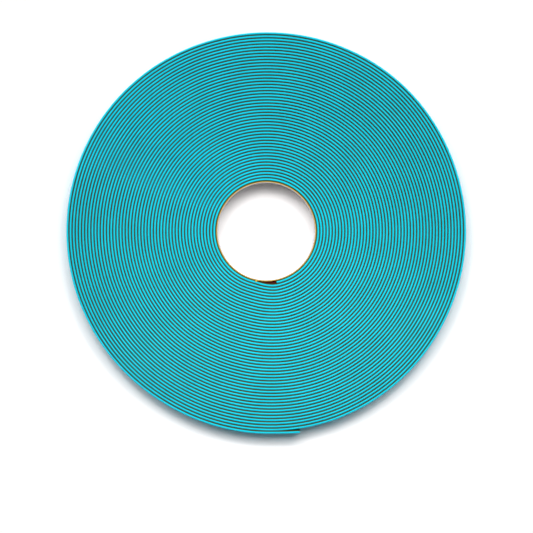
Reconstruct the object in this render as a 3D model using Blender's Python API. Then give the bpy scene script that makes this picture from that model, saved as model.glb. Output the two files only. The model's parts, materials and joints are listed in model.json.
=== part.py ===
"""A roll of cushioned grip tape for racket handles, wound with its release liner on a card core.

The roll lies on its side. The bore's axis is +Z, the lower side is at z = 0, and the origin is on the
axis there. The tape is wound outward anticlockwise as seen from above, so angles grow along it. Its
loose outer end is a chain of short links, hinged so that the end can be peeled off the roll.
Lengths are in metres and angles in degrees.
"""

import math

import bmesh
import bpy
from mathutils import Vector

# Core tube
BORE_RADIUS = 0.0381
INNER_PLY_THICKNESS = 0.0003
CORE_RADIUS = 0.03878
CORE_RECESS = 0.0002

# Tape and liner
TAPE_WIDTH = 0.018
TAPE_THICKNESS = 0.001855
LINER_THICKNESS = 0.00045
LINER_RECESS = 0.0005
LAYER_GAP = 0.00006
PITCH = LINER_THICKNESS + TAPE_THICKNESS + 2 * LAYER_GAP

# Winding
TURNS = 48
STEPS_PER_TURN = 24
START_RADIUS = CORE_RADIUS + LAYER_GAP
START_ANGLE = -78.5

# Each turn is nearly round, and then steps up over the tape's own start. From the core to the outside the
# step begins earlier, ends later and overshoots more. The bulges are (middle, half width, height outside).
STEP_BEFORE = 27
STEP_BEFORE_OUTSIDE = 50
STEP_AFTER = 10
STEP_AFTER_TURNS = 14
STEP_OVERSHOOT = 0.2
SETTLE_AFTER = 20
SETTLE_ANGLE = 35
BULGES = ((46, 26, 0.00045), (100, 45, -0.00068))

# Loose outer end
TAIL_LINKS = 8
LINK_ANGLE = 180 / STEPS_PER_TURN
TAIL_START_ANGLE = START_ANGLE - 60
TAIL_END_ANGLE = -80.5
END_LIFT = 0.001
LINK_GAP = 0.0003

# Wedge of glue that holds the tape's start
BEAD_ANGLES = (-98.5, -93.5, -87, -80.5)
BEAD_THIN = 0.0002
BEAD_THICK = 0.0017
BEAD_TOP_RECESS = 0.0008
BEAD_HEIGHT = 0.012

CYAN_FOAM = ("cyan_foam", (0.01, 0.5, 0.62), 0.55)
LINER_PAPER = ("liner_paper", (0.12, 0.05, 0.02), 0.7)
KRAFT_BOARD = ("kraft_board", (0.5, 0.31, 0.1), 0.85)
GREY_PAPER = ("grey_paper", (0.62, 0.61, 0.65), 0.8)
OCHRE_GLUE = ("ochre_glue", (0.42, 0.2, 0.03), 0.35)


def clear_scene():
    for obj in list(bpy.data.objects):
        bpy.data.objects.remove(obj, do_unlink=True)


def make_material(name, colour, roughness):
    material = bpy.data.materials.new(name)
    material.use_nodes = True
    shader = material.node_tree.nodes["Principled BSDF"]
    shader.inputs["Base Color"].default_value = (*colour, 1)
    shader.inputs["Roughness"].default_value = roughness
    shader.inputs["Metallic"].default_value = 0
    return material


def add_object(name, bm, look, parent=None):
    """The mesh as a named object, with its own material and its origin on its parent's."""
    bmesh.ops.recalc_face_normals(bm, faces=bm.faces)
    mesh = bpy.data.meshes.new(name)
    bm.to_mesh(mesh)
    bm.free()
    mesh.shade_smooth()
    mesh.set_sharp_from_angle(angle=math.radians(30))
    label, colour, roughness = look
    mesh.materials.append(make_material(f"{name}_{label}", colour, roughness))
    obj = bpy.data.objects.new(name, mesh)
    obj.parent = parent
    bpy.context.scene.collection.objects.link(obj)
    return obj


def polar(radius, angle, z=0.0):
    turn = math.radians(angle)
    return Vector((radius * math.cos(turn), radius * math.sin(turn), z))


def loft(sections, closed):
    """A tube through four-cornered sections, joined end to start if closed, else capped."""
    bm = bmesh.new()
    rings = [[bm.verts.new(corner) for corner in section] for section in sections]
    pairs = list(zip(rings, rings[1:]))
    if closed:
        pairs.append((rings[-1], rings[0]))
    else:
        bm.faces.new(rings[0])
        bm.faces.new(rings[-1])
    for ring, after in pairs:
        for corner in range(4):
            beside = (corner + 1) % 4
            bm.faces.new((ring[corner], ring[beside], after[beside], after[corner]))
    return bm


def wall_section(inner_radius, outer_radius, angle, low, high):
    return [
        polar(inner_radius, angle, low),
        polar(outer_radius, angle, low),
        polar(outer_radius, angle, high),
        polar(inner_radius, angle, high),
    ]


def add_core():
    """A card tube of two plies. Its facets are those of the first turn of tape."""
    low = CORE_RECESS
    high = TAPE_WIDTH - CORE_RECESS
    ply_radius = BORE_RADIUS + INNER_PLY_THICKNESS
    angles = [START_ANGLE + 360 * side / STEPS_PER_TURN for side in range(STEPS_PER_TURN)]
    ply = [wall_section(BORE_RADIUS, ply_radius, angle, low, high) for angle in angles]
    board = [wall_section(ply_radius + LAYER_GAP, CORE_RADIUS, angle, low, high) for angle in angles]
    add_object("core_inner_ply", loft(ply, closed=True), GREY_PAPER)
    add_object("core_board", loft(board, closed=True), KRAFT_BOARD)


def smoothstep(value):
    held = min(max(value, 0.0), 1.0)
    return held * held * (3 - 2 * held)


def bulge(angle):
    """How far the outermost turn stands out of round here."""
    total = 0.0
    for middle, half_width, height in BULGES:
        away = abs((angle - middle + 180) % 360 - 180)
        total += height * smoothstep(1 - away / half_width)
    return total


def layer_radius(turns):
    """The inner face of the liner this many turns from the start.

    It rises by one pitch at each step, where the strip passes over its own start. The height of the steps
    before this one is the whole part, and the nearest step adds its own share.
    """
    nearest = round(turns)
    outward = nearest / TURNS
    past_start = 360 * (turns - nearest)
    before = STEP_BEFORE + (STEP_BEFORE_OUTSIDE - STEP_BEFORE) * outward
    after = STEP_AFTER * (1 - math.exp(-nearest / STEP_AFTER_TURNS))
    stepped = smoothstep((past_start + before) / (before + after))
    settled = smoothstep((past_start - SETTLE_AFTER) / SETTLE_ANGLE)
    height = nearest - 1 + stepped * (1 + STEP_OVERSHOOT * outward * (1 - settled))
    return START_RADIUS + PITCH * height + outward * bulge(START_ANGLE + past_start)


def add_spiral(name, depth, thickness, recess, look):
    """A strip wound from the start to the loose end. depth is how far it is from the layer's inner face."""
    wound_turns = TURNS - (START_ANGLE - TAIL_START_ANGLE) / 360
    sections = []
    for step in range(round(wound_turns * STEPS_PER_TURN) + 1):
        turns = step / STEPS_PER_TURN
        inner_radius = layer_radius(turns) + depth
        angle = START_ANGLE + 360 * turns
        outer_radius = inner_radius + thickness
        sections.append(wall_section(inner_radius, outer_radius, angle, recess, TAPE_WIDTH - recess))
    add_object(name, loft(sections, closed=False), look)


def outer_face_radius(angle):
    """The outer face of the last turn of tape, where it lies on the turn below."""
    turns = TURNS + (angle - START_ANGLE) / 360
    return layer_radius(turns) + PITCH - LAYER_GAP


def tail_pivots():
    """Points on the outer face where the links meet, from the last wound turn to the free end.

    The links lie on the roll, apart from the last one's end, which springs off it a little.
    """
    angles = [TAIL_START_ANGLE + LINK_ANGLE * link for link in range(TAIL_LINKS)]
    points = [polar(outer_face_radius(angle), angle) for angle in angles]
    return points + [polar(outer_face_radius(TAIL_END_ANGLE) + END_LIFT, TAIL_END_ANGLE)]


def inward_offsets(points):
    """At each point, the step that lies one unit inside the links on both sides of it."""
    normals = []
    for here, after in zip(points, points[1:]):
        along = (after - here).normalized()
        normals.append(Vector((-along.y, along.x, 0)))
    before = [normals[0]] + normals
    behind = normals + [normals[-1]]
    return [(a + b) / (1 + a.dot(b)) for a, b in zip(before, behind)]


def add_link(name, points, offsets, link, depth, thickness, recess, look, pivot):
    """One straight link between two pivots, from depth to depth + thickness inside the outer face."""
    here, after = points[link], points[link + 1]
    begin = here + (after - here).normalized() * LINK_GAP
    sections = []
    for point, offset in ((begin, offsets[link]), (after, offsets[link + 1])):
        near = point + offset * depth - here
        far = point + offset * (depth + thickness) - here
        up = Vector((0, 0, 1))
        low = up * recess
        high = up * (TAPE_WIDTH - recess)
        sections.append([near + low, far + low, far + high, near + high])
    add_object(name, loft(sections, closed=False), look, parent=pivot)


def add_tail():
    """Links of tape and liner, each pair hung on an empty at its hinge."""
    points = tail_pivots()
    offsets = inward_offsets(points)
    previous = None
    for link in range(TAIL_LINKS):
        pivot = bpy.data.objects.new(f"tail_pivot_{link + 1}", None)
        pivot.empty_display_size = TAPE_WIDTH
        pivot.parent = previous
        pivot.location = points[link] - (points[link - 1] if previous else Vector())
        bpy.context.scene.collection.objects.link(pivot)
        add_link(
            f"tape_tail_link_{link + 1}", points, offsets, link, 0.0, TAPE_THICKNESS, 0.0, CYAN_FOAM, pivot
        )
        liner_depth = TAPE_THICKNESS + LAYER_GAP
        add_link(
            f"liner_tail_link_{link + 1}", points, offsets, link,
            liner_depth, LINER_THICKNESS, LINER_RECESS, LINER_PAPER, pivot,
        )
        previous = pivot


def add_glue_bead():
    """A bead that fills the wedge between the core and the place where the tape steps over its start."""
    inner_radius = CORE_RADIUS + LAYER_GAP
    high = TAPE_WIDTH - BEAD_TOP_RECESS
    sections = []
    for angle in BEAD_ANGLES:
        share = (angle - BEAD_ANGLES[0]) / (BEAD_ANGLES[-1] - BEAD_ANGLES[0])
        outer_radius = inner_radius + BEAD_THIN + (BEAD_THICK - BEAD_THIN) * share
        sections.append(wall_section(inner_radius, outer_radius, angle, high - BEAD_HEIGHT, high))
    add_object("core_glue_bead", loft(sections, closed=False), OCHRE_GLUE)


def main():
    clear_scene()
    add_core()
    add_glue_bead()
    add_spiral("release_liner_winding", 0.0, LINER_THICKNESS, LINER_RECESS, LINER_PAPER)
    add_spiral("tape_winding", LINER_THICKNESS + LAYER_GAP, TAPE_THICKNESS, 0.0, CYAN_FOAM)
    add_tail()


main()
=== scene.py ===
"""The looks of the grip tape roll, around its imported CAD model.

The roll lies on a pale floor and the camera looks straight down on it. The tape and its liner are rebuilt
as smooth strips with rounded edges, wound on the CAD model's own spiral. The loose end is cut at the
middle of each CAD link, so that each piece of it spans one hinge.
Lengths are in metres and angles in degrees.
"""

import json
import math

import bpy
import numpy as np
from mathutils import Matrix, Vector


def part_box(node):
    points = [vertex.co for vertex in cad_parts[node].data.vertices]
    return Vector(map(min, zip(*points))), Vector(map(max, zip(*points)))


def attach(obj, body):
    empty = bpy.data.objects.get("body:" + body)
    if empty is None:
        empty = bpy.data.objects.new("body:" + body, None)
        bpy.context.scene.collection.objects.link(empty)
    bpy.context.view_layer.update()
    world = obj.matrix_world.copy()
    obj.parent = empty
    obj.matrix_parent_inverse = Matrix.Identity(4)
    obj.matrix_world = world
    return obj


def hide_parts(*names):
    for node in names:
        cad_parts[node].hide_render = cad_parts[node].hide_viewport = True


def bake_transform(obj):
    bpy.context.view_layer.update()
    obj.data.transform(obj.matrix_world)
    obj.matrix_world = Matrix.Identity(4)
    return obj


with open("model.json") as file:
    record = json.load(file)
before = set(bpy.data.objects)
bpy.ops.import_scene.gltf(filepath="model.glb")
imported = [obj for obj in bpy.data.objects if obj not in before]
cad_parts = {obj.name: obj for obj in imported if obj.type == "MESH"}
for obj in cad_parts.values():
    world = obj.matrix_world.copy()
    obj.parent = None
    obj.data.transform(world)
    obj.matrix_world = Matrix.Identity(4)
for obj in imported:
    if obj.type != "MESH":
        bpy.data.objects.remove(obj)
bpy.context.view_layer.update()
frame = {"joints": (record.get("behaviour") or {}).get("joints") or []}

# The winding, as the CAD model has it: each turn steps up over the tape's own start, and the outermost ones
# stand out of round. The bulges are (middle, half width, height outside).
TURNS = 48
START_ANGLE = -78.5
STEP_BEFORE = 27
STEP_BEFORE_OUTSIDE = 50
STEP_AFTER = 10
STEP_AFTER_TURNS = 14
STEP_OVERSHOOT = 0.2
SETTLE_AFTER = 20
SETTLE_ANGLE = 35
BULGES = ((46, 26, 0.00045), (100, 45, -0.00068))
CORE_RADIUS = 0.03878
LAYER_GAP = 0.00006
TAPE_THICKNESS = 0.001855
LINER_THICKNESS = 0.00045
PITCH = LINER_THICKNESS + TAPE_THICKNESS + 2 * LAYER_GAP
START_RADIUS = CORE_RADIUS + LAYER_GAP
TAIL_END_ANGLE = -80.5
END_LIFT = 0.001
TAPE_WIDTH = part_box("tape_winding")[1].z
CORE_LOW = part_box("core_board")[0].z
CORE_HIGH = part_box("core_board")[1].z
HINGES = [np.array(joint["pos_m"][:2]) for joint in frame["joints"]]

# How finely the pieces are built
STATIONS_PER_TURN = 144
STATIONS_PER_LINK = 16
ROUND_STEPS = 5
CORE_STATIONS = 480
SEAM_HEIGHTS = 20
GLUE_STATIONS = 40
GLUE_SIDES = 20
SHARP_ANGLE = 50

# The strips' own shape. They drift up and down in waves of (share, waves a turn, shift in radians).
TAPE_ROUND_ACROSS = 0.0009
TAPE_ROUND_DOWN = 0.0012
LINER_RECESS = 0.0005
LINER_ROUND = 0.0001
EDGE_WANDER = 0.00007
WANDER_WAVES = ((0.5, 0.371, 1.3), (0.3, 1.137, 0.4), (0.2, 2.713, 2.2))
CUT_ROUND = 0.00012
# How far in from the tape's inner face the painted shade of the grooves between the turns reaches.
GROOVE_PAINTED_SHADE_DEPTH = 0.0007

# The core's own shape. Its lining stands a little inside the CAD model's bore, so that the ring is as wide
# as the photo's.
LINING_RADIUS = 0.03786
LINING_THICKNESS = 0.00024
PLY_GAP = 0.00002
PLY_RIM = 0.00006
BOARD_PLIES = 3
PLY_GROOVE_DEPTH = 0.00012
PLY_GROOVE_WIDTH = 0.00003
SEAM_WIDTH = 0.00045
SEAM_DEPTH = 0.0001
SEAM_ANGLE = 35
SEAM_LEAN = 1.0

# The glue: a wedge behind the tape's start, and the dab that was squeezed out of its thin end. The wedge's
# top sags at places of (across, down), as shares of its half width, and has ripples of (height, radians
# along the wedge, shift). The dab's half sizes are outward, round the core and up, and its lumps are (share,
# lobes round it, radians up it, shift).
# The wedge fills the gap behind the tape's start, and its near-black red is painted shade for the shade in
# that gap.
WEDGE_START, WEDGE_END = -100.5, -79.2
WEDGE_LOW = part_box("core_glue_bead")[0].z
WEDGE_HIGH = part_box("core_glue_bead")[1].z
WEDGE_GAP = 0.00002
WEDGE_SAG = ((1 / 2, 1 / 4), (0, 1 / 3), (-1 / 2, 1 / 4))
WEDGE_RIPPLES = ((0.00012, 17, 0), (0.00008, 41, 1))
DAB_ANGLE = -101.4
DAB_RADIUS = 0.0393
DAB_HEIGHT = 0.0179
DAB_HALF_SIZES = (0.0007, 0.00095, 0.00035)
DAB_LUMPS = ((0.1, 3, 0, 1), (0.06, 5, 3, 0))

# Colours, as a darker and a lighter one where they vary
# The broad faces' cyan is darker than the cut edges': painted shade, so that the roll's side reads darker
# than its top.
FOAM_FACE_PAINTED_SHADE_COLOURS = ((0.0029, 0.4095, 0.585), (0.0039, 0.4485, 0.6435))
FOAM_CUT_COLOURS = ((0.0029, 0.5948, 0.7605), (0.0039, 0.6435, 0.819))
# Painted shade in the open pores of the cut edges.
FOAM_PORE_PAINTED_SHADE_COLOUR = (0.0019, 0.2535, 0.3315)
FOAM_FLECK_COLOUR = (0.0059, 0.741, 0.8775)
# Painted shade: a dark olive along the tape's inner side, for the shade in the grooves between the turns.
GROOVE_PAINTED_SHADE_COLOUR = (0.041, 0.0829, 0.0039)
LINER_COLOURS = ((0.0585, 0.0488, 0.001), (0.078, 0.0644, 0.0019))
LINER_FIBRE_COLOUR = (0.1072, 0.0858, 0.0059)
BOARD_COLOURS = ((0.508, 0.295, 0.041), (0.704, 0.459, 0.09))
BOARD_FLECK_COLOUR = (0.311, 0.156, 0.025)
LINING_COLOURS = ((0.6, 0.6, 0.605), (0.68, 0.68, 0.685))
LINING_FIBRE_COLOUR = (0.702, 0.6971, 0.702)
# Painted shade: the glue wedge is near-black red for the shade in the gap behind the tape's start.
GLUE_WEDGE_PAINTED_SHADE_COLOURS = ((0.0292, 0.0006, 0.0004), (0.0536, 0.0012, 0.0008))
THIN_GLUE_COLOURS = ((0.42, 0.285, 0.022), (0.57, 0.42, 0.052))
FLOOR_COLOURS = ((0.985, 0.96, 0.955), (0.995, 0.97, 0.965))

# The light: two suns side by side, and with each of them a weak beam on the roll's near side, which is the
# lower half of the picture
LIGHT_SIDEWAYS = (-15, 15)
SUN_STRENGTH = 1.66
SUN_WIDTH = 34
SUN_TILT = 24.5
BEAM_POWER = 0.027
BEAM_SIZE = (0.25, 0.14)
BEAM_SPREAD = 14
BEAM_TILT = 28
BEAM_AIM = (0.01, -0.085)
BEAM_DISTANCE = 1.0
SKY_LOW = 1.0
SKY_HIGH = 0.11
SKY_DIM_FROM = 0.25

# The picture
VIEW_WIDTH = 0.4136
VIEW_CENTRE = (0.0002, -0.0273)
CAMERA_HEIGHT = 2.6
SENSOR_WIDTH = 36
CAMERA_REACH = (0.1, 50)
FLOOR_HALF_SIZE = 4.0


# Shapes


def smoothstep(value):
    held = min(max(value, 0.0), 1.0)
    return held * held * (3 - 2 * held)


def bulge(angle):
    """How far the outermost turn stands out of round here, as in the CAD model."""
    total = 0.0
    for middle, half_width, height in BULGES:
        away = abs((angle - middle + 180) % 360 - 180)
        total += height * smoothstep(1 - away / half_width)
    return total


def layer_radius(turns):
    """The inner face of the liner this many turns from the start, as in the CAD model."""
    nearest = round(turns)
    outward = nearest / TURNS
    past_start = 360 * (turns - nearest)
    before = STEP_BEFORE + (STEP_BEFORE_OUTSIDE - STEP_BEFORE) * outward
    after = STEP_AFTER * (1 - math.exp(-nearest / STEP_AFTER_TURNS))
    stepped = smoothstep((past_start + before) / (before + after))
    settled = smoothstep((past_start - SETTLE_AFTER) / SETTLE_ANGLE)
    height = nearest - 1 + stepped * (1 + STEP_OVERSHOOT * outward * (1 - settled))
    return START_RADIUS + PITCH * height + outward * bulge(START_ANGLE + past_start)


def polar(radius, angle):
    turn = math.radians(angle)
    return np.array([radius * math.cos(turn), radius * math.sin(turn)])


def outer_point(turns):
    """A point on the tape's outer face, this many turns from the start."""
    return polar(layer_radius(turns) + PITCH - LAYER_GAP, START_ANGLE + 360 * turns)


def wander(turns):
    """How far the strip drifts up or down here, from -1 to 1, with no period that shows."""
    return sum(share * math.sin(math.tau * rate * turns + shift) for share, rate, shift in WANDER_WAVES)


def rounded_section(near, far, low, high, across, down):
    """A strip's cross-section between two depths and two heights, with elliptical corners, anticlockwise."""
    corners = (
        (far - across, low + down, -90),
        (far - across, high - down, 0),
        (near + across, high - down, 90),
        (near + across, low + down, 180),
    )
    points = []
    for depth, height, begin in corners:
        for step in range(ROUND_STEPS + 1):
            turn = math.radians(begin + 90 * step / ROUND_STEPS)
            points.append((depth + across * math.cos(turn), height + down * math.sin(turn)))
    return np.array(points)


def loft_mesh(name, rings, closed):
    """A mesh through rings of points with the same count, each anticlockwise as seen from the next ring."""
    size = len(rings[0])
    count = len(rings)
    faces = [] if closed else [list(range(size))[::-1], list(range((count - 1) * size, count * size))]
    corners = np.arange(size)
    beside = (corners + 1) % size
    for ring in range(count if closed else count - 1):
        here = ring * size
        after = (ring + 1) % count * size
        faces += np.column_stack([here + corners, here + beside, after + beside, after + corners]).tolist()
    mesh = bpy.data.meshes.new(name)
    mesh.from_pydata(np.concatenate(rings).tolist(), [], faces)
    mesh.shade_smooth()
    mesh.set_sharp_from_angle(angle=math.radians(SHARP_ANGLE))
    return mesh


def mark_cut_edges(mesh):
    """Stores how near each point is to the strip's cut edges, for the foam's open pores there and their
    painted shade, and for the darker cyan of the broad faces away from the edges, which is painted shade.
    """
    heights = np.array([vertex.co.z for vertex in mesh.vertices])
    depth = np.minimum(heights, TAPE_WIDTH - heights)
    share = np.clip(1 - depth / (TAPE_ROUND_DOWN + EDGE_WANDER), 0, 1)
    mesh.attributes.new("cut_edge", "FLOAT", "POINT").data.foreach_set("value", share.astype(np.float32))


def mark_groove_painted_shade(mesh, section):
    """Stores how near each point is to the strip's inner face, which carries the adhesive, for the painted
    shade that darkens the grooves between the turns there.
    """
    share = np.clip(1 - (TAPE_THICKNESS - section[:, 0]) / GROOVE_PAINTED_SHADE_DEPTH, 0, 1)
    values = np.tile(share, len(mesh.vertices) // len(section)).astype(np.float32)
    mesh.attributes.new("groove_painted_shade", "FLOAT", "POINT").data.foreach_set("value", values)


def add_piece(name, mesh, material):
    mesh.materials.append(material)
    piece = bpy.data.objects.new(name, mesh)
    bpy.context.scene.collection.objects.link(piece)
    return piece


# The line that both strips follow


def wound_line(last_turns):
    """(points on the tape's outer face, steps inward, turns) from the start to this many turns."""
    count = math.ceil(last_turns * STATIONS_PER_TURN)
    turns = np.linspace(0, last_turns, count + 1)
    points = np.array([outer_point(turn) for turn in turns])
    inward = -points / np.linalg.norm(points, axis=1)[:, None]
    return points, inward, turns


def between(before, start, end, after, share):
    """A point on the smooth curve from start to end, the middle two of four points."""
    return 0.5 * (
        2 * start
        + (end - before) * share
        + (2 * before - 5 * start + 4 * end - after) * share**2
        + (3 * start - before - 3 * end + after) * share**3
    )


def tail_line():
    """(line, joins, turns): the loose end's line through the hinges, and the turns where it starts.

    The line runs from the middle of the link before the first hinge to the free end. joins are the places
    on it where one piece ends and the next begins, at the middle of each link.
    """
    first_angle, second_angle = (math.degrees(math.atan2(hinge[1], hinge[0])) for hinge in HINGES[:2])
    link_turns = (second_angle - first_angle) / 360
    first_turns = TURNS + (first_angle - START_ANGLE) / 360
    wound = [outer_point(first_turns - links * link_turns) for links in (2, 1)]
    end_turns = TURNS + (TAIL_END_ANGLE - START_ANGLE) / 360
    free_end = outer_point(end_turns) + polar(END_LIFT, TAIL_END_ANGLE)
    knots = [*wound, *HINGES, free_end, 2 * free_end - HINGES[-1]]
    line = []
    for before, start, end, after in zip(knots, knots[1:], knots[2:], knots[3:]):
        shares = np.arange(STATIONS_PER_LINK) / STATIONS_PER_LINK
        line += [between(before, start, end, after, share) for share in shares]
    line = np.array(line + [free_end])[STATIONS_PER_LINK // 2 :]
    joins = [STATIONS_PER_LINK * link for link in range(len(HINGES))] + [len(line) - 1]
    return line, joins, first_turns - link_turns / 2


def inward_steps(line):
    """At each point of a line that turns anticlockwise, the unit step to its inner side."""
    along = np.gradient(line, axis=0)
    along /= np.linalg.norm(along, axis=1)[:, None]
    return np.column_stack([-along[:, 1], along[:, 0]])


def strip_rings(points, inward, lifts, section):
    """The strip's cross-section at each point of its line."""
    rings = []
    for point, step, lift in zip(points, inward, lifts):
        flat = point + section[:, :1] * step
        rings.append(np.column_stack([flat, section[:, 1] + lift]))
    return rings


def soften_cut(rings, section, at_start):
    """Draws a cut end in a little over its last stretch, so that its rim is soft."""
    end, beside, place = (0, 1, 1) if at_start else (-1, -2, len(rings) - 1)
    along = rings[beside] - rings[end]
    full = rings[end] + along * (CUT_ROUND / np.linalg.norm(along, axis=1).mean())
    middle = rings[end].mean(0)
    spread = rings[end] - middle
    flat_share, height_share = 1 - CUT_ROUND / np.abs(section - section.mean(0)).max(0)
    rings[end] = middle + spread * np.array([flat_share, flat_share, height_share])
    rings.insert(place, full)


# The tape, its liner and the core


def tape_section():
    low, high = EDGE_WANDER, TAPE_WIDTH - EDGE_WANDER
    return rounded_section(0, TAPE_THICKNESS, low, high, TAPE_ROUND_ACROSS, TAPE_ROUND_DOWN)


def liner_section():
    near = TAPE_THICKNESS + LAYER_GAP
    low, high = EDGE_WANDER + LINER_RECESS, TAPE_WIDTH - EDGE_WANDER - LINER_RECESS
    return rounded_section(near, near + LINER_THICKNESS, low, high, LINER_ROUND, LINER_ROUND)


def add_strip_piece(strip, number, rings, section, material, node):
    """Piece 0 is the wound part of the strip, and the others make up its loose end."""
    name = f"{strip}_end_{number}" if number else f"{strip}_wound"
    mesh = loft_mesh(name, rings, closed=False)
    if strip == "tape":
        mark_cut_edges(mesh)
        mark_groove_painted_shade(mesh, section)
    piece = add_piece(name, mesh, material)
    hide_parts(node)
    return piece


def add_strip(strip, section, winding_node, material):
    """The wound part and the loose end of the tape or of its liner."""
    line, joins, wound_turns = tail_line()
    points, inward, turns = wound_line(wound_turns)
    lifts = EDGE_WANDER * np.array([wander(turn) for turn in turns])
    rings = strip_rings(points, inward, lifts, section)
    soften_cut(rings, section, at_start=True)
    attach(add_strip_piece(strip, 0, rings, section, material, winding_node), "roll")

    tail_inward = inward_steps(line)
    tail_turns = np.linspace(wound_turns, TURNS, len(line))
    tail_lifts = EDGE_WANDER * np.array([wander(turn) for turn in tail_turns])
    for number, (first, last) in enumerate(zip(joins, joins[1:])):
        stretch = slice(first, last + 1)
        rings = strip_rings(line[stretch], tail_inward[stretch], tail_lifts[stretch], section)
        if last == joins[-1]:
            soften_cut(rings, section, at_start=False)
        node = f"{strip}_tail_link_{number + 1}"
        piece = add_strip_piece(strip, number + 1, rings, section, material, node)
        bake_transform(piece)


def seam_dip(angle, height):
    """How deep the seam of the inner ply is at a place on the bore, as it winds up at a slant."""
    seam_angle = SEAM_ANGLE + math.degrees(SEAM_LEAN * (height - CORE_LOW) / LINING_RADIUS)
    away = ((angle - seam_angle + 180) % 360 - 180) / 360 * math.tau * LINING_RADIUS
    return SEAM_DEPTH * math.exp(-((away / (SEAM_WIDTH / 2)) ** 2))


def turned_mesh(name, sections):
    """A closed ring through one section of (radius, height) points for each angle round the axis."""
    angles = [360 * station / len(sections) for station in range(len(sections))]
    rings = [
        np.array([(*polar(radius, angle), height) for radius, height in section])
        for angle, section in zip(angles, sections)
    ]
    return loft_mesh(name, rings, closed=True)


def add_lining(material):
    """The inner ply, with its own slanted seam down the bore."""
    outer = LINING_RADIUS + LINING_THICKNESS
    rim = PLY_RIM
    heights = np.linspace(CORE_HIGH - rim, CORE_LOW + rim, SEAM_HEIGHTS)
    sections = []
    for station in range(CORE_STATIONS):
        angle = 360 * station / CORE_STATIONS
        section = [(LINING_RADIUS + seam_dip(angle, height), height) for height in heights]
        section += [(LINING_RADIUS + rim, CORE_LOW), (outer - rim, CORE_LOW), (outer, CORE_LOW + rim)]
        section += [(outer, CORE_HIGH - rim), (outer - rim, CORE_HIGH), (LINING_RADIUS + rim, CORE_HIGH)]
        sections.append(section)
    mesh = turned_mesh("core_lining", sections)
    lining = add_piece("core_lining", mesh, material)
    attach(lining, "roll")
    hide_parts("core_inner_ply")


def add_tube(material):
    """The board, whose plies show as fine grooves in its edge."""
    inner = LINING_RADIUS + LINING_THICKNESS + PLY_GAP
    ply = (CORE_RADIUS - inner) / BOARD_PLIES
    top = []
    for number in range(BOARD_PLIES):
        begin = inner + ply * number
        top += [(begin, PLY_GROOVE_DEPTH), (begin + PLY_GROOVE_WIDTH, 0), (begin + ply - PLY_GROOVE_WIDTH, 0)]
    top.append((CORE_RADIUS, PLY_GROOVE_DEPTH))
    section = [(radius, CORE_LOW + depth) for radius, depth in top]
    section += [(radius, CORE_HIGH - depth) for radius, depth in reversed(top)]
    mesh = turned_mesh("core_tube", [section] * CORE_STATIONS)
    tube = add_piece("core_tube", mesh, material)
    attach(tube, "roll")
    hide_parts("core_board")


def wedge_rings():
    """The glue between the core and the liner above it, from its thin end to the tape's start."""
    rings = []
    for station in range(GLUE_STATIONS + 1):
        share = station / GLUE_STATIONS
        angle = WEDGE_START + (WEDGE_END - WEDGE_START) * share
        near = CORE_RADIUS + WEDGE_GAP
        far = layer_radius(1 + (angle - START_ANGLE) / 360) - WEDGE_GAP
        middle = (near + far) / 2
        half = (far - near) / 2
        high = WEDGE_HIGH + sum(size * math.sin(rate * share + shift) for size, rate, shift in WEDGE_RIPPLES)
        ring = [(near, WEDGE_LOW), (far, WEDGE_LOW), (far, high)]
        ring += [(middle + half * across, high - half * down) for across, down in WEDGE_SAG]
        ring.append((near, high))
        rings.append(np.array([(*polar(radius, angle), height) for radius, height in ring]))
    return rings


def dab_rings():
    """The dab as a lumpy flattened ball, in rings from its lowest point up."""
    half_out, half_across, half_up = DAB_HALF_SIZES
    outward = polar(1, DAB_ANGLE)
    across = polar(1, DAB_ANGLE + 90)
    rings = []
    for station in range(1, GLUE_SIDES):
        rise = math.pi * station / GLUE_SIDES
        ring = []
        for side in range(GLUE_SIDES):
            around = math.tau * side / GLUE_SIDES
            lump = 1
            for share, lobes, rate, shift in DAB_LUMPS:
                lump += share * math.sin(lobes * around + rate * rise + shift)
            out = DAB_RADIUS + half_out * lump * math.sin(rise) * math.cos(around)
            flat = out * outward + half_across * lump * math.sin(rise) * math.sin(around) * across
            ring.append((*flat, DAB_HEIGHT - half_up * math.cos(rise)))
        rings.append(np.array(ring))
    return rings


def add_glue():
    """The wedge's near-black red is painted shade, for the shade far down in the gap behind the tape's start,
    and the thin dab is a bright ochre.
    """
    deep = glue_look("glue_wedge_painted_shade", GLUE_WEDGE_PAINTED_SHADE_COLOURS)
    wedge = add_piece("glue_wedge", loft_mesh("glue_wedge", wedge_rings(), closed=False), deep)
    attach(wedge, "roll")
    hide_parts("core_glue_bead")
    thin = glue_look("ochre_glue", THIN_GLUE_COLOURS)
    dab = add_piece("glue_dab", loft_mesh("glue_dab", dab_rings(), closed=False), thin)
    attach(dab, "roll")


# Materials


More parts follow.
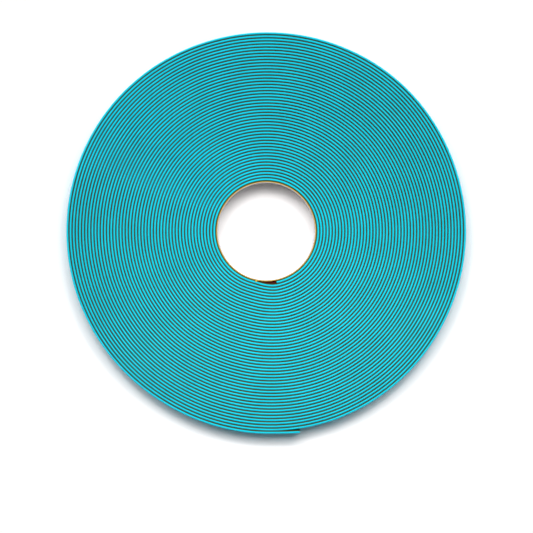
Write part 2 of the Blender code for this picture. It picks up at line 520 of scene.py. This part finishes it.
class Look:
    """A material under construction: its nodes, with short ways to add and join them."""

    def __init__(self, name, specular):
        self.material = bpy.data.materials.new(name)
        self.material.use_nodes = True
        self.nodes = self.material.node_tree.nodes
        self.links = self.material.node_tree.links
        self.shader = self.nodes["Principled BSDF"]
        self.shader.inputs["Specular IOR Level"].default_value = specular
        self.place = self.nodes.new("ShaderNodeTexCoord").outputs["Object"]

    def feed(self, value, socket):
        """Gives a socket a number, a colour or what another node puts out."""
        if isinstance(value, (int, float)):
            socket.default_value = value
        elif isinstance(value, tuple):
            socket.default_value = (*value, 1)
        else:
            self.links.new(value, socket)

    def noise(self, scale, detail=3.0, roughness=0.55, stretch=None):
        node = self.nodes.new("ShaderNodeTexNoise")
        node.inputs["Scale"].default_value = scale
        node.inputs["Detail"].default_value = detail
        node.inputs["Roughness"].default_value = roughness
        place = self.place
        if stretch:
            mapping = self.nodes.new("ShaderNodeMapping")
            mapping.inputs["Scale"].default_value = stretch
            self.feed(place, mapping.inputs["Vector"])
            place = mapping.outputs["Vector"]
        self.feed(place, node.inputs["Vector"])
        return node.outputs["Fac"]

    def cells(self, scale):
        node = self.nodes.new("ShaderNodeTexVoronoi")
        node.inputs["Scale"].default_value = scale
        self.feed(self.place, node.inputs["Vector"])
        return node.outputs["Distance"]

    def span(self, value, low, high, to_low=0.0, to_high=1.0):
        """Takes the values from low to high over to those from to_low to to_high."""
        node = self.nodes.new("ShaderNodeMapRange")
        inputs = {"Value": value, "From Min": low, "From Max": high, "To Min": to_low, "To Max": to_high}
        for socket, given in inputs.items():
            self.feed(given, node.inputs[socket])
        return node.outputs["Result"]

    def times(self, first, second):
        node = self.nodes.new("ShaderNodeMath")
        node.operation = "MULTIPLY"
        self.feed(first, node.inputs[0])
        self.feed(second, node.inputs[1])
        return node.outputs["Value"]

    def mix(self, share, first, second):
        node = self.nodes.new("ShaderNodeMix")
        node.data_type = "RGBA"
        self.feed(share, node.inputs["Factor"])
        self.feed(first, node.inputs["A"])
        self.feed(second, node.inputs["B"])
        return node.outputs["Result"]

    def attribute(self, name):
        node = self.nodes.new("ShaderNodeAttribute")
        node.attribute_name = name
        return node.outputs["Fac"]

    def colour(self, value):
        self.feed(value, self.shader.inputs["Base Color"])

    def rough(self, value):
        self.feed(value, self.shader.inputs["Roughness"])

    def bump(self, height, strength, distance):
        """Adds to the bumps that are there already."""
        node = self.nodes.new("ShaderNodeBump")
        node.inputs["Strength"].default_value = strength
        node.inputs["Distance"].default_value = distance
        self.feed(height, node.inputs["Height"])
        previous = self.shader.inputs["Normal"].links
        if previous:
            self.feed(previous[0].from_socket, node.inputs["Normal"])
        self.feed(node.outputs["Normal"], self.shader.inputs["Normal"])


def foam_look():
    """Cyan cushioned tape: a fine grained skin on its faces, and open pores along its cut edges. Painted
    shade darkens the pores, the broad faces and the inner side by the liner.
    """
    look = Look("cyan_foam", specular=0.1)
    mottle = look.span(look.noise(scale=45, detail=2), 0.35, 0.65)
    fleck = look.span(look.noise(scale=1500, detail=2), 0.3, 0.7)
    edge = look.attribute("cut_edge")
    # The broad faces get the darker cyan: painted shade, so that the side reads darker than the top.
    face = look.mix(mottle, *FOAM_FACE_PAINTED_SHADE_COLOURS)
    cut = look.mix(mottle, *FOAM_CUT_COLOURS)
    base = look.mix(look.span(edge, 0, 0.4), face, cut)
    pores = look.cells(scale=2600)
    # Painted shade: the pores of the cut edges are darkened where shade falls in them.
    pore_shade = look.times(look.span(pores, 0.12, 0.4, 1, 0), edge)
    shaded = look.mix(look.times(pore_shade, 0.35), base, FOAM_PORE_PAINTED_SHADE_COLOUR)
    flecked = look.mix(look.times(fleck, 0.1), shaded, FOAM_FLECK_COLOUR)
    # Painted shade along the inner side, where the grooves between the turns are.
    look.colour(look.mix(look.attribute("groove_painted_shade"), flecked, GROOVE_PAINTED_SHADE_COLOUR))
    look.rough(look.span(look.noise(scale=900, detail=2), 0.3, 0.7, 0.52, 0.7))
    look.bump(look.times(pores, edge), strength=0.5, distance=0.00012)
    look.bump(look.noise(scale=2200), strength=0.35, distance=0.00005)
    look.bump(look.noise(scale=160, detail=2), strength=0.25, distance=0.0002)
    return look.material


def liner_look():
    """Brown release paper with short fibres."""
    look = Look("liner_paper", specular=0.1)
    fibre = look.span(look.noise(scale=1200, detail=4, stretch=(1, 1, 0.25)), 0.3, 0.7)
    patch = look.span(look.noise(scale=70), 0.35, 0.65)
    base = look.mix(patch, *LINER_COLOURS)
    look.colour(look.mix(look.times(fibre, 0.3), base, LINER_FIBRE_COLOUR))
    look.rough(look.span(fibre, 0, 1, 0.6, 0.78))
    look.bump(fibre, strength=0.3, distance=0.00004)
    return look.material


def board_look():
    """Kraft board: ochre brown, with pale fibres and darker flecks."""
    look = Look("kraft_board", specular=0.15)
    fibre = look.span(look.noise(scale=1800, detail=5, roughness=0.7), 0.35, 0.65)
    fleck = look.span(look.noise(scale=650, detail=2), 0.62, 0.72)
    base = look.mix(fibre, *BOARD_COLOURS)
    look.colour(look.mix(look.times(fleck, 0.5), base, BOARD_FLECK_COLOUR))
    look.rough(look.span(fibre, 0, 1, 0.78, 0.92))
    look.bump(fibre, strength=0.6, distance=0.00008)
    return look.material


def lining_look():
    """Pale grey paper inside the bore."""
    look = Look("grey_paper", specular=0.2)
    fibre = look.span(look.noise(scale=1400, detail=5, roughness=0.65, stretch=(1, 1, 0.4)), 0.3, 0.7)
    patch = look.span(look.noise(scale=60, detail=2), 0.35, 0.65)
    base = look.mix(patch, *LINING_COLOURS)
    look.colour(look.mix(look.times(fibre, 0.35), base, LINING_FIBRE_COLOUR))
    look.rough(look.span(fibre, 0, 1, 0.66, 0.82))
    look.bump(fibre, strength=0.35, distance=0.00005)
    return look.material


def glue_look(name, colours):
    """Hot-melt glue, a little cloudy and glossy."""
    look = Look(name, specular=0.05)
    cloud = look.span(look.noise(scale=900, detail=2), 0.3, 0.7)
    look.colour(look.mix(cloud, *colours))
    look.rough(look.span(cloud, 0, 1, 0.35, 0.55))
    look.bump(look.noise(scale=1500, detail=2), strength=0.2, distance=0.00005)
    return look.material


def floor_look():
    """A matt, nearly white studio floor."""
    look = Look("pale_floor", specular=0.1)
    look.colour(look.mix(look.noise(scale=3, detail=2), *FLOOR_COLOURS))
    look.rough(0.9)
    return look.material


# The floor, the lights and the camera


def add_floor():
    low, high = -FLOOR_HALF_SIZE, FLOOR_HALF_SIZE
    mesh = bpy.data.meshes.new("floor")
    mesh.from_pydata([(low, low, 0), (high, low, 0), (high, high, 0), (low, high, 0)], [], [(0, 1, 2, 3)])
    mesh.materials.append(floor_look())
    floor = bpy.data.objects.new("floor", mesh)
    bpy.context.scene.collection.objects.link(floor)


def add_lamp(name, light, tilt, sideways):
    """A lamp that points at the roll's near side. Where a sun stands makes no difference to its light."""
    lamp = bpy.data.objects.new(name, light)
    lamp.rotation_euler = (math.radians(-tilt), math.radians(sideways), 0)
    away = lamp.rotation_euler.to_matrix() @ Vector((0, 0, BEAM_DISTANCE))
    lamp.location = Vector((*BEAM_AIM, 0)) + away
    bpy.context.scene.collection.objects.link(lamp)


def add_light():
    """A broad soft light above the roll's far side, wider than it is deep, and stronger on its near side."""
    sun = bpy.data.lights.new("key", "SUN")
    sun.energy = SUN_STRENGTH
    sun.angle = math.radians(SUN_WIDTH)
    beam = bpy.data.lights.new("beam", "AREA")
    beam.shape = "RECTANGLE"
    beam.size, beam.size_y = BEAM_SIZE
    beam.energy = BEAM_POWER
    beam.spread = math.radians(BEAM_SPREAD)
    for number, sideways in enumerate(LIGHT_SIDEWAYS, 1):
        add_lamp(f"key_{number}", sun, SUN_TILT, sideways)
        add_lamp(f"beam_{number}", beam, BEAM_TILT, sideways)


def add_sky():
    """An even white studio: bright low down all round, and dimmer overhead."""
    world = bpy.data.worlds.new("studio")
    world.use_nodes = True
    nodes = world.node_tree.nodes
    links = world.node_tree.links
    place = nodes.new("ShaderNodeTexCoord")
    split = nodes.new("ShaderNodeSeparateXYZ")
    span = nodes.new("ShaderNodeMapRange")
    span.inputs["From Max"].default_value = SKY_DIM_FROM
    span.inputs["To Min"].default_value = SKY_LOW
    span.inputs["To Max"].default_value = SKY_HIGH
    links.new(place.outputs["Generated"], split.inputs["Vector"])
    links.new(split.outputs["Z"], span.inputs["Value"])
    links.new(span.outputs["Result"], nodes["Background"].inputs["Strength"])
    nodes["Background"].inputs["Color"].default_value = (1, 1, 1, 1)
    bpy.context.scene.world = world


def add_camera():
    """Straight above the roll, with the picture's top towards +Y."""
    data = bpy.data.cameras.new("camera")
    data.sensor_width = SENSOR_WIDTH
    height = CAMERA_HEIGHT - TAPE_WIDTH
    data.lens = SENSOR_WIDTH * height / VIEW_WIDTH
    data.clip_start, data.clip_end = CAMERA_REACH
    camera = bpy.data.objects.new("camera", data)
    camera.location = (*VIEW_CENTRE, CAMERA_HEIGHT)
    bpy.context.scene.collection.objects.link(camera)
    bpy.context.scene.camera = camera
    bpy.context.scene.view_settings.view_transform = "Standard"


def main():
    foam = foam_look()
    liner = liner_look()
    add_strip("tape", tape_section(), "tape_winding", foam)
    add_strip("liner", liner_section(), "release_liner_winding", liner)
    add_lining(lining_look())
    add_tube(board_look())
    add_glue()
    add_floor()
    add_light()
    add_sky()
    add_camera()


main()
